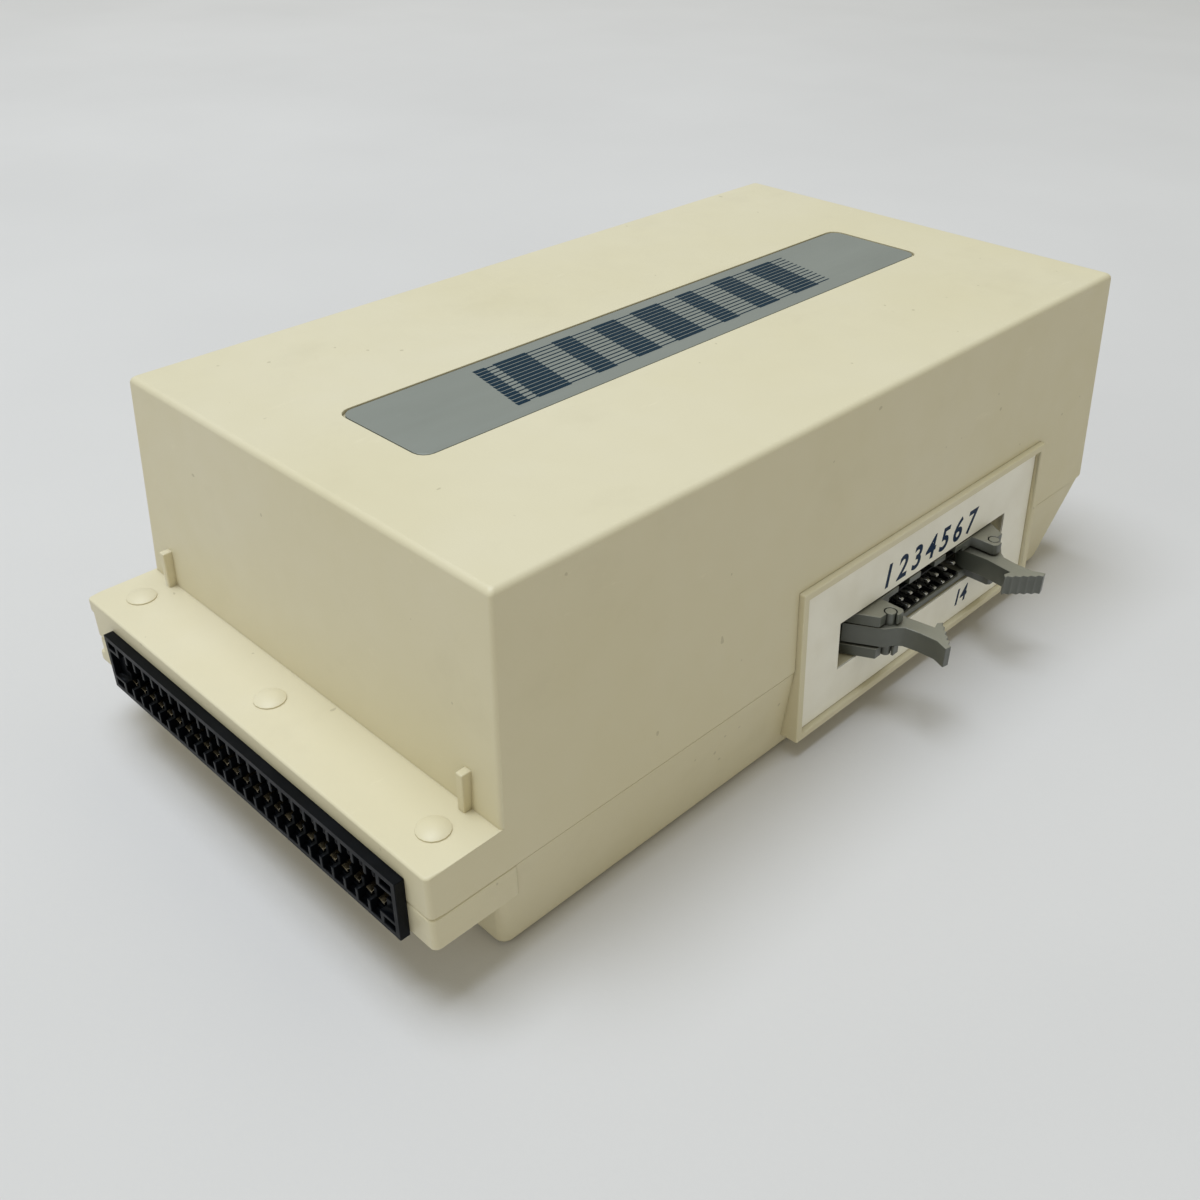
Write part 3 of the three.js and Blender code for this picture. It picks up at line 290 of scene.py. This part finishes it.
class Finish:
    """A material built node by node on object coordinates."""

    def __init__(self, name, roughness=0.5, metallic=0.0, specular=0.5):
        self.material = bpy.data.materials.new(name)
        self.material.use_nodes = True
        self.tree = self.material.node_tree
        self.shader = self.tree.nodes["Principled BSDF"]
        self.shader.inputs["Roughness"].default_value = roughness
        self.shader.inputs["Metallic"].default_value = metallic
        self.shader.inputs["Specular IOR Level"].default_value = specular
        self.place = self.tree.nodes.new("ShaderNodeTexCoord").outputs["Object"]

    def link(self, source, target):
        self.tree.links.new(source, target)

    def feed(self, socket, value):
        """Gives a socket a fixed value, or links it to another socket."""
        if isinstance(value, (int, float, tuple)):
            socket.default_value = value
        else:
            self.link(value, socket)

    def noise(self, pattern):
        """The pattern's noise as it comes."""
        node = self.tree.nodes.new("ShaderNodeTexNoise")
        node.inputs["Scale"].default_value = pattern.scale
        node.inputs["Detail"].default_value = pattern.detail
        node.inputs["Roughness"].default_value = pattern.roughness
        place = self.place
        if pattern.stretch:
            mapping = self.tree.nodes.new("ShaderNodeMapping")
            mapping.inputs["Scale"].default_value = pattern.stretch
            self.link(place, mapping.inputs["Vector"])
            place = mapping.outputs["Vector"]
        self.link(place, node.inputs["Vector"])
        return node.outputs["Fac"]

    def ramp(self, source, low, high, least=0.0, most=1.0):
        """Maps a value from low..high to least..most, held at the ends."""
        node = self.tree.nodes.new("ShaderNodeMapRange")
        node.inputs["From Min"].default_value = low
        node.inputs["From Max"].default_value = high
        node.inputs["To Min"].default_value = least
        node.inputs["To Max"].default_value = most
        self.link(source, node.inputs["Value"])
        return node.outputs["Result"]

    def fitted(self, source, pattern):
        """A value mapped as the pattern says."""
        return self.ramp(source, pattern.low, pattern.high, pattern.least, pattern.most)

    def mapped(self, pattern):
        """The pattern's noise, mapped as the pattern says."""
        return self.fitted(self.noise(pattern), pattern)

    def mix(self, share, first, second):
        """A colour between two others: each is a colour or a socket."""
        node = self.tree.nodes.new("ShaderNodeMix")
        node.data_type = "RGBA"
        self.link(share, node.inputs["Factor"])
        self.feed(node.inputs[MIX_FIRST], first)
        self.feed(node.inputs[MIX_SECOND], second)
        return node.outputs[MIX_RESULT]

    def math(self, operation, first, second):
        """The result of a sum on two values: each is a number or a socket."""
        node = self.tree.nodes.new("ShaderNodeMath")
        node.operation = operation
        self.feed(node.inputs[0], first)
        self.feed(node.inputs[1], second)
        return node.outputs["Value"]

    def colour(self, source):
        self.link(source, self.shader.inputs["Base Color"])

    def gloss(self, source):
        self.link(source, self.shader.inputs["Roughness"])

    def bump(self, source, height, strength):
        """Raises the surface by a pattern."""
        node = self.tree.nodes.new("ShaderNodeBump")
        node.inputs["Distance"].default_value = height
        node.inputs["Strength"].default_value = strength
        self.link(source, node.inputs["Height"])
        self.link(node.outputs["Normal"], self.shader.inputs["Normal"])

    def mark(self, marks):
        self.bump(self.noise(marks.pattern), marks.height, marks.strength)

    def crevice(self, reach):
        """Rises from 0 on open faces to 1 in tight corners."""
        node = self.tree.nodes.new("ShaderNodeAmbientOcclusion")
        node.samples = CORNER_SAMPLES
        node.inputs["Distance"].default_value = reach
        return self.ramp(node.outputs["AO"], CLOSED_CORNER, OPEN_CORNER, 1.0, 0.0)

    def upward(self):
        """Rises from 0 on walls to 1 on level faces that look up."""
        normal = self.tree.nodes.new("ShaderNodeNewGeometry").outputs["Normal"]
        parts = self.tree.nodes.new("ShaderNodeSeparateXYZ")
        self.link(normal, parts.inputs["Vector"])
        return self.ramp(parts.outputs["Z"], TOP_LIGHT_SLOPE, TOP_LIGHT_LEVEL)

    def soiled(self, colour, recess_shade, reach=RECESS_SHADE_REACH, share=RECESS_SHADE_SHARE):
        """The colour with painted shade in recesses."""
        return self.mix(self.math("MULTIPLY", self.crevice(reach), share), colour, recess_shade)


def cream_plastic(name, base, aged):
    """Moulded case plastic: uneven ageing, faint stains and scuffs, fine grain, painted shade in corners
    tinted with grime.
    """
    finish = Finish(name, specular=CASE_SPECULAR)
    grime_and_shade = srgb(*CASE_GRIME_AND_SHADE)
    colour = finish.mix(finish.mapped(CASE_AGEING), base, aged)
    colour = finish.mix(finish.mapped(CASE_CLOUDS), colour, aged)
    colour = finish.mix(finish.mapped(CASE_STAINS), colour, grime_and_shade)
    colour = finish.mix(finish.mapped(CASE_SPECKS), colour, grime_and_shade)
    colour = finish.mix(finish.mapped(CASE_SCUFFS), colour, paler(base, SCUFF_GAIN))
    # Painted shade in the corners, tinted with grime
    finish.colour(finish.soiled(colour, grime_and_shade, CORNER_SHADE_REACH, CORNER_SHADE_SHARE))
    finish.gloss(finish.mapped(CASE_GLOSS))
    grain = finish.noise(CASE_GRAIN.pattern)
    sink = finish.math("MULTIPLY", finish.noise(CASE_SINK), CASE_SINK_SHARE)
    finish.bump(finish.math("ADD", grain, sink), CASE_GRAIN.height, CASE_GRAIN.strength)
    return finish.material


def plain_plastic(name, base, worn, roughness, grain_scale, grain, specular=0.5, top_light=None, recess_shade=None):
    """Small moulded pieces: colour drift, matt grain and rubbed patches; some get painted light on the
    faces that look up and painted shade in recesses.
    """
    finish = Finish(name, specular=specular)
    colour = finish.mix(finish.mapped(PLASTIC_DRIFT), base, worn)
    colour = finish.mix(finish.mapped(PLASTIC_RUBBING), colour, worn)
    # Painted light: a paler colour on the faces that look up
    if top_light:
        colour = finish.mix(finish.math("MULTIPLY", finish.upward(), TOP_LIGHT_SHARE), colour, top_light)
    # Painted shade: a darker colour in recesses
    if recess_shade:
        colour = finish.soiled(colour, recess_shade)
    finish.colour(colour)
    gloss = spread(PLASTIC_GLOSS, roughness, PLASTIC_GLOSS_BELOW, PLASTIC_GLOSS_ABOVE)
    finish.gloss(finish.mapped(gloss))
    pattern = Pattern(grain_scale, detail=PLASTIC_GRAIN_DETAIL)
    finish.mark(Marks(pattern, grain, PLASTIC_GRAIN_STRENGTH))
    return finish.material


def satin_plate(name, base, worn):
    """The badge: satin metallic paint with faint streaks along its length and a few scratches."""
    finish = Finish(name, metallic=BADGE_METALLIC)
    streaks = finish.noise(BADGE_STREAKS)
    colour = finish.mix(finish.mapped(BADGE_DRIFT), base, worn)
    finish.colour(finish.mix(finish.mapped(BADGE_SCRATCHES), colour, paler(base, SCRATCH_GAIN)))
    finish.gloss(finish.fitted(streaks, BADGE_STREAKS))
    finish.bump(streaks, BADGE_STREAK_HEIGHT, BADGE_STREAK_STRENGTH)
    return finish.material


def metal(name, base, dull, roughness, recess_shade=None):
    """Plated or drawn metal with dulled patches and drawing marks; some has painted shade in recesses."""
    finish = Finish(name, metallic=1.0)
    colour = finish.mix(finish.mapped(METAL_DULLING), base, dull)
    # Painted shade: a darker colour in recesses
    if recess_shade:
        colour = finish.soiled(colour, recess_shade)
    finish.colour(colour)
    gloss = spread(METAL_GLOSS, roughness, METAL_GLOSS_BELOW, METAL_GLOSS_ABOVE)
    finish.gloss(finish.mapped(gloss))
    finish.mark(METAL_MARKS)
    return finish.material


def solder_mask(name, base, copper):
    """Circuit board lacquer over copper tracks that run along and across the board."""
    finish = Finish(name, roughness=BOARD_ROUGHNESS)
    tracks = finish.tree.nodes.new("ShaderNodeTexBrick")
    tracks.inputs["Scale"].default_value = TRACK_SCALE
    tracks.inputs["Mortar Size"].default_value = TRACK_WIDTH
    tracks.inputs["Color1"].default_value = base
    tracks.inputs["Color2"].default_value = base
    tracks.inputs["Mortar"].default_value = copper
    finish.link(finish.place, tracks.inputs["Vector"])
    finish.colour(finish.mix(finish.mapped(BOARD_DRIFT), tracks.outputs["Color"], copper))
    finish.mark(BOARD_MARKS)
    return finish.material


def ink(name, base, worn):
    """Screen-printed ink, slightly thin in places."""
    finish = Finish(name, specular=INK_SPECULAR)
    finish.colour(finish.mix(finish.mapped(INK_THINNING), base, worn))
    finish.gloss(finish.mapped(INK_GLOSS))
    finish.mark(INK_MARKS)
    return finish.material


def floor_paper(name, base, shade):
    """The pale surface under the box, with a faint paper tooth."""
    finish = Finish(name, roughness=FLOOR_ROUGHNESS, specular=FLOOR_SPECULAR)
    finish.colour(finish.mix(finish.mapped(FLOOR_CLOUDS), base, shade))
    finish.mark(FLOOR_TOOTH)
    return finish.material


# Each material's maker, its fresh and its worn colour, and what else the maker takes: grain is a height,
# and grain_scale the grain's features a metre
RECIPES = {
    "case_cream": (cream_plastic, (217, 208, 181), (212, 202, 169), {}),
    "badge_grey": (satin_plate, (146, 150, 144), (138, 142, 136), {}),
    "label_white": (plain_plastic, (246, 242, 230), (238, 233, 219),
                    {"roughness": 0.42, "grain_scale": 1200, "grain": 0.008 * MM}),
    "connector_black": (plain_plastic, (6, 8, 11), (13, 15, 19),
                        {"roughness": 0.36, "grain_scale": 2400, "grain": 0.008 * MM, "specular": 0.08}),
    # The header's grey pieces get painted light on the faces that look up and painted shade in their
    # recesses
    "header_grey": (plain_plastic, (84, 87, 79), (76, 79, 72),
                    {"roughness": 0.36, "grain_scale": 2600, "grain": 0.012 * MM, "specular": 0.9,
                     "top_light": srgb(140, 138, 124), "recess_shade": srgb(28, 30, 27)}),
    "insulator_black": (plain_plastic, (8, 8, 10), (14, 14, 16),
                        {"roughness": 0.5, "grain_scale": 2400, "grain": 0.01 * MM, "specular": 0.12}),
    "contact_gold": (metal, (112, 102, 82), (74, 68, 56), {"roughness": 0.22}),
    # The pins get painted shade down in their recesses, so only their tips stay bright
    "pin_tin": (metal, (206, 205, 198), (168, 167, 160), {"roughness": 0.3, "recess_shade": srgb(20, 20, 20)}),
    "board_green": (solder_mask, (44, 92, 56), (70, 122, 76), {}),
    "chip_black": (plain_plastic, (30, 30, 32), (42, 42, 44),
                   {"roughness": 0.5, "grain_scale": 1800, "grain": 0.02 * MM}),
    "can_blue": (plain_plastic, (36, 64, 118), (48, 78, 130),
                 {"roughness": 0.35, "grain_scale": 900, "grain": 0.01 * MM}),
    "disc_ochre": (plain_plastic, (184, 118, 46), (160, 98, 38),
                   {"roughness": 0.55, "grain_scale": 1400, "grain": 0.03 * MM}),
    "network_yellow": (plain_plastic, (200, 162, 60), (184, 146, 52),
                       {"roughness": 0.5, "grain_scale": 1400, "grain": 0.02 * MM}),
    "resistor_tan": (plain_plastic, (204, 172, 122), (188, 154, 104),
                     {"roughness": 0.5, "grain_scale": 1400, "grain": 0.02 * MM}),
    "screw_steel": (metal, (176, 178, 180), (146, 148, 150), {"roughness": 0.35}),
    "badge_ink": (ink, (8, 38, 55), (22, 52, 69), {}),
    "label_ink": (ink, (20, 42, 70), (44, 64, 90), {}),
    "floor_paper": (floor_paper, (211, 208, 206), (206, 203, 201), {}),
}
MATERIALS = {name: maker(name, srgb(*fresh), srgb(*worn), **rest)
             for name, (maker, fresh, worn, rest) in RECIPES.items()}


def assign(mesh, material):
    mesh.materials.clear()
    mesh.materials.append(MATERIALS[material])


def object_of(name, data):
    """A new object in the scene."""
    piece = bpy.data.objects.new(name, data)
    bpy.context.scene.collection.objects.link(piece)
    return piece


def final_mesh(piece):
    """A new mesh of a piece as its modifiers or its outline make it."""
    bpy.context.view_layer.update()
    return bpy.data.meshes.new_from_object(piece.evaluated_get(bpy.context.evaluated_depsgraph_get()))


def body_of(node):
    bodies = frame["record"]["behaviour"]["bodies"]
    return next(body for body, members in bodies.items() if node in members)


def slot_of(node):
    return next(part["material_slot"] for part in frame["record"]["subparts"] if part["node"] == node)


def room_beside(edge):
    """Length of the shortest edge that an edge ends at, apart from those that lead on from it."""
    room = math.inf
    for corner in edge.verts:
        along = (edge.other_vert(corner).co - corner.co).normalized()
        for other in corner.link_edges:
            way = (other.other_vert(corner).co - corner.co).normalized()
            if other is not edge and along.dot(way) > ALONG_COSINE:
                room = min(room, other.calc_length())
    return room


def rounding_share(edge, node, width):
    """How much of the full rounding an edge gets: less on narrow forms and along the seam."""
    if len(edge.link_faces) != 2 or not edge.is_convex or edge.calc_face_angle() < SHARP_ANGLE:
        return 0.0
    seat = SEATS.get(node)
    if seat and any(face.normal.dot(seat) > SEAT_COSINE for face in edge.link_faces):
        return 0.0
    room = room_beside(edge)
    if room < TINY_EDGE:
        return 0.0
    share = min(1.0, ROOM_SHARES.get(node, ROOM_SHARE) * room / width)
    if node in SEAM_SHARES and all(abs(corner.co.z - SEAM_HEIGHT) < SEAM_BAND for corner in edge.verts):
        share = min(share, SEAM_SHARES[node])
    return share


def clean_copy(node, width):
    """The node's surface with whole flat faces, and each edge's share of the rounding as its weight."""
    source = frame["nodes"][node].data
    mesh = bpy.data.meshes.new(node + "_skin")
    mesh.from_pydata([v.co.copy() for v in source.vertices], [],
                     [tuple(p.vertices) for p in source.polygons])
    work = bmesh.new()
    work.from_mesh(mesh)
    bmesh.ops.remove_doubles(work, verts=work.verts, dist=MERGE_DISTANCE)
    bmesh.ops.dissolve_limit(work, angle_limit=FLAT_ANGLE, verts=work.verts, edges=work.edges)
    bmesh.ops.recalc_face_normals(work, faces=work.faces)
    rounding = work.edges.layers.float.new("bevel_weight_edge")
    for edge in work.edges:
        edge[rounding] = rounding_share(edge, node, width)
        sharp = len(edge.link_faces) == 2 and edge.calc_face_angle() > FACET_ANGLE
        edge.smooth = not sharp or edge[rounding] > 0
    work.to_mesh(mesh)
    work.free()
    return mesh


def spread_bezel(mesh):
    """Moves the bezel's top and ends outwards, up to the edge of its seat in the wall."""
    low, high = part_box("port_bezel")
    for point in mesh.vertices:
        if point.co.y < low[1] + BEZEL_BAND:
            point.co.y -= BEZEL_SPREAD
        if point.co.y > high[1] - BEZEL_BAND:
            point.co.y += BEZEL_SPREAD
        if point.co.z > high[2] - BEZEL_BAND:
            point.co.z += BEZEL_SPREAD


def apply_modifiers(piece):
    """Turns a piece's modifiers into its mesh."""
    final = final_mesh(piece)
    piece.modifiers.clear()
    piece.data = final


def merge_points(mesh):
    """Merges points that the rounding has put in one place."""
    work = bmesh.new()
    work.from_mesh(mesh)
    bmesh.ops.remove_doubles(work, verts=work.verts, dist=FINE_MERGE)
    bmesh.ops.dissolve_degenerate(work, edges=work.edges, dist=FINE_MERGE)
    work.to_mesh(mesh)
    work.free()


def soften_edges(piece, width):
    """Rounds the weighted edges and evens out the shading of the flat faces."""
    bevel = piece.modifiers.new("rounding", "BEVEL")
    bevel.width = width
    bevel.segments = ROUNDING_STEPS
    bevel.limit_method = "WEIGHT"
    bevel.use_clamp_overlap = False
    apply_modifiers(piece)
    merge_points(piece.data)
    for face in piece.data.polygons:
        face.use_smooth = True
    even = piece.modifiers.new("even", "WEIGHTED_NORMAL")
    even.keep_sharp = True
    even.weight = FLAT_FACE_WEIGHT
    apply_modifiers(piece)


def finer(node, name, width):
    """Replaces a node by a copy with rounded edges."""
    piece = object_of(name, clean_copy(node, width))
    if node == "port_bezel":
        spread_bezel(piece.data)
    soften_edges(piece, width)
    assign(piece.data, OWN_MATERIALS.get(node, slot_of(node)))
    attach(piece, body_of(node))
    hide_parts(node)


def dress_nodes():
    """Puts the finer pieces in place, and gives the nodes that stay their materials."""
    for node, (name, width) in FINER_PIECES.items():
        finer(node, name, width)
    for node, kept in frame["nodes"].items():
        if node not in FINER_PIECES:
            assign(kept.data, slot_of(node))


def prism(work, corners, bottom, top):
    """Adds an upright prism over corners given in X and Y."""
    low = [work.verts.new((x, y, bottom)) for x, y in corners]
    high = [work.verts.new((x, y, top)) for x, y in corners]
    count = len(corners)
    work.faces.new(high)
    work.faces.new(low[::-1])
    for i in range(count):
        work.faces.new((low[i], low[(i + 1) % count], high[(i + 1) % count], high[i]))


def strip(work, x, half, near, far, bottom, top):
    """Adds a straight strip along Y, half a width to each side of X."""
    prism(work, [(x - half, near), (x + half, near), (x + half, far), (x - half, far)], bottom, top)


def printed(name, work, material, node):
    """Makes an ink piece that rides with the node it is printed on."""
    mesh = bpy.data.meshes.new(name)
    bmesh.ops.recalc_face_normals(work, faces=work.faces)
    work.to_mesh(mesh)
    work.free()
    assign(mesh, material)
    piece = object_of(name, mesh)
    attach(piece, body_of(node))


def print_bars():
    """Where each bar starts and stops along a line: a narrow one at the near end, then the wide ones."""
    share = PRINT_LENGTH / PRINT_BARS
    bars = [(0.0, PRINT_END_BAR)]
    for bar in range(PRINT_BARS):
        width = share * PRINT_BAR_SHARES[bar % len(PRINT_BAR_SHARES)]
        start = share * bar + (share - width) * (1 - bar / PRINT_BARS)
        bars.append((start, start + width))
    return bars


def badge_print():
    """Thin lines along the badge, each thicker where it crosses one of the slanted bars."""
    low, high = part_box("top_badge")
    middle_x = (low[0] + high[0]) / 2 - PRINT_SHIFT
    front = (low[1] + high[1]) / 2 - PRINT_LENGTH / 2
    pitch = PRINT_WIDTH / PRINT_LINES
    bottom, top = high[2] - INK_HEIGHT, high[2] + INK_HEIGHT
    bars = print_bars()
    work = bmesh.new()
    for line in range(PRINT_LINES):
        x = middle_x + (line - (PRINT_LINES - 1) / 2) * pitch
        shift = -PRINT_SLANT_SHARE * (x - middle_x)
        begin, end = front + shift, front + PRINT_LENGTH + shift
        strip(work, x, pitch * PRINT_THIN_SHARE / 2, begin, end, bottom, top)
        for start, stop in bars:
            strip(work, x, pitch * PRINT_THICK_SHARE / 2, begin + start, min(end, begin + stop),
                  bottom - INK_STEP, top + INK_STEP)
    printed("badge_stripes", work, "badge_ink", "top_badge")


def number_mesh(number, height):
    """A slanted number that stands on the X axis, as a thin solid."""
    curve = bpy.data.curves.new("digit", "FONT")
    curve.body = str(number)
    curve.size = height / CAP_SHARE
    curve.extrude = INK_HEIGHT
    curve.shear = DIGIT_SLANT
    curve.offset = height * DIGIT_WEIGHT_SHARE
    curve.align_x = "CENTER"
    curve.resolution_u = DIGIT_STEPS
    holder = object_of("digit", curve)
    outline = final_mesh(holder)
    bpy.data.objects.remove(holder)
    bpy.data.curves.remove(curve)
    return outline


def add_number(work, number, height, place_y, place_z, low, high):
    """Adds a number that stands at a place on the label's leaning face."""
    outline = number_mesh(number, height)
    face_x = high[0] - COVER_DRAFT * (place_z - low[2])
    outline.transform(Matrix(((0, -COVER_DRAFT, 1, face_x), (1, 0, 0, place_y),
                              (0, 1, COVER_DRAFT, place_z), (0, 0, 0, 1))))
    work.from_mesh(outline)
    bpy.data.meshes.remove(outline)


def port_numbers():
    """Plain numbers of the header's columns above the window, and the number of its pins below."""
    low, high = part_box("port_label")
    shroud_low, shroud_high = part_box("header_shroud")
    pins_low, pins_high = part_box("header_pins")
    span = (pins_high[1] - pins_low[1]) * DIGIT_SPREAD_SHARE
    middle = (pins_low[1] + pins_high[1]) / 2
    work = bmesh.new()
    for column in range(PIN_COLUMNS):
        place_y = middle + (column - (PIN_COLUMNS - 1) / 2) * span / (PIN_COLUMNS - 1)
        add_number(work, column + 1, DIGIT_HEIGHT, place_y, shroud_high[2] + DIGIT_LIFT, low, high)
    add_number(work, PIN_COLUMNS * PIN_ROWS, COUNT_HEIGHT, pins_high[1] + COUNT_HEIGHT,
               shroud_low[2] - COUNT_DROP, low, high)
    bmesh.ops.remove_doubles(work, verts=work.verts, dist=FINE_MERGE)
    printed("column_numbers", work, "label_ink", "port_label")


def camera():
    """The photograph's view."""
    data = bpy.data.cameras.new("camera")
    data.sensor_width = SENSOR
    data.sensor_fit = "HORIZONTAL"
    data.lens = SENSOR * FOCAL_PIXELS / IMAGE_PIXELS
    data.clip_start = NEAR_CLIP
    data.clip_end = FAR_CLIP
    view = object_of("camera", data)
    back = -CAMERA_FORWARD.normalized()
    right = CAMERA_RIGHT.normalized()
    turn = Matrix((right, back.cross(right), back)).transposed().to_4x4()
    view.matrix_world = Matrix.Translation(CAMERA_PLACE) @ turn
    bpy.context.scene.camera = view


def floor():
    """The pale floor that the box rests on."""
    half = FLOOR_HALF
    mesh = bpy.data.meshes.new("floor")
    mesh.from_pydata([(-half, -half, 0), (half, -half, 0), (half, half, 0), (-half, half, 0)], [],
                     [(0, 1, 2, 3)])
    assign(mesh, "floor_paper")
    object_of("floor", mesh)


def light_of(name, data, lamp):
    """Puts a lamp's light in its place, facing its target."""
    data.color = lamp.colour
    data.energy = lamp.power
    light = object_of(name, data)
    light.location = lamp.place
    light.rotation_euler = (Vector(lamp.target) - Vector(lamp.place)).to_track_quat("-Z", "Y").to_euler()


def area_light(name, lamp):
    """A round soft light."""
    data = bpy.data.lights.new(name, "AREA")
    data.shape = "DISK"
    data.size = lamp.size
    light_of(name, data, lamp)


def backdrop_light():
    """A soft spot on the floor far behind the box, whose cone stays clear of the box."""
    data = bpy.data.lights.new("backdrop", "SPOT")
    data.spot_size = BACKDROP_CONE
    data.spot_blend = BACKDROP_BLEND
    data.shadow_soft_size = BACKDROP_LAMP.size
    light_of("backdrop", data, BACKDROP_LAMP)


def lighting():
    """Soft light from above, weak light from two sides and an even glow all round."""
    world = bpy.data.worlds.new("studio")
    world.use_nodes = True
    background = world.node_tree.nodes["Background"]
    background.inputs["Color"].default_value = WORLD_COLOUR
    background.inputs["Strength"].default_value = WORLD_STRENGTH
    bpy.context.scene.world = world
    for name, lamp in AREA_LAMPS.items():
        area_light(name, lamp)
    backdrop_light()


dress_nodes()
badge_print()
port_numbers()
camera()
floor()
lighting()
bpy.context.scene.view_settings.view_transform = "Standard"
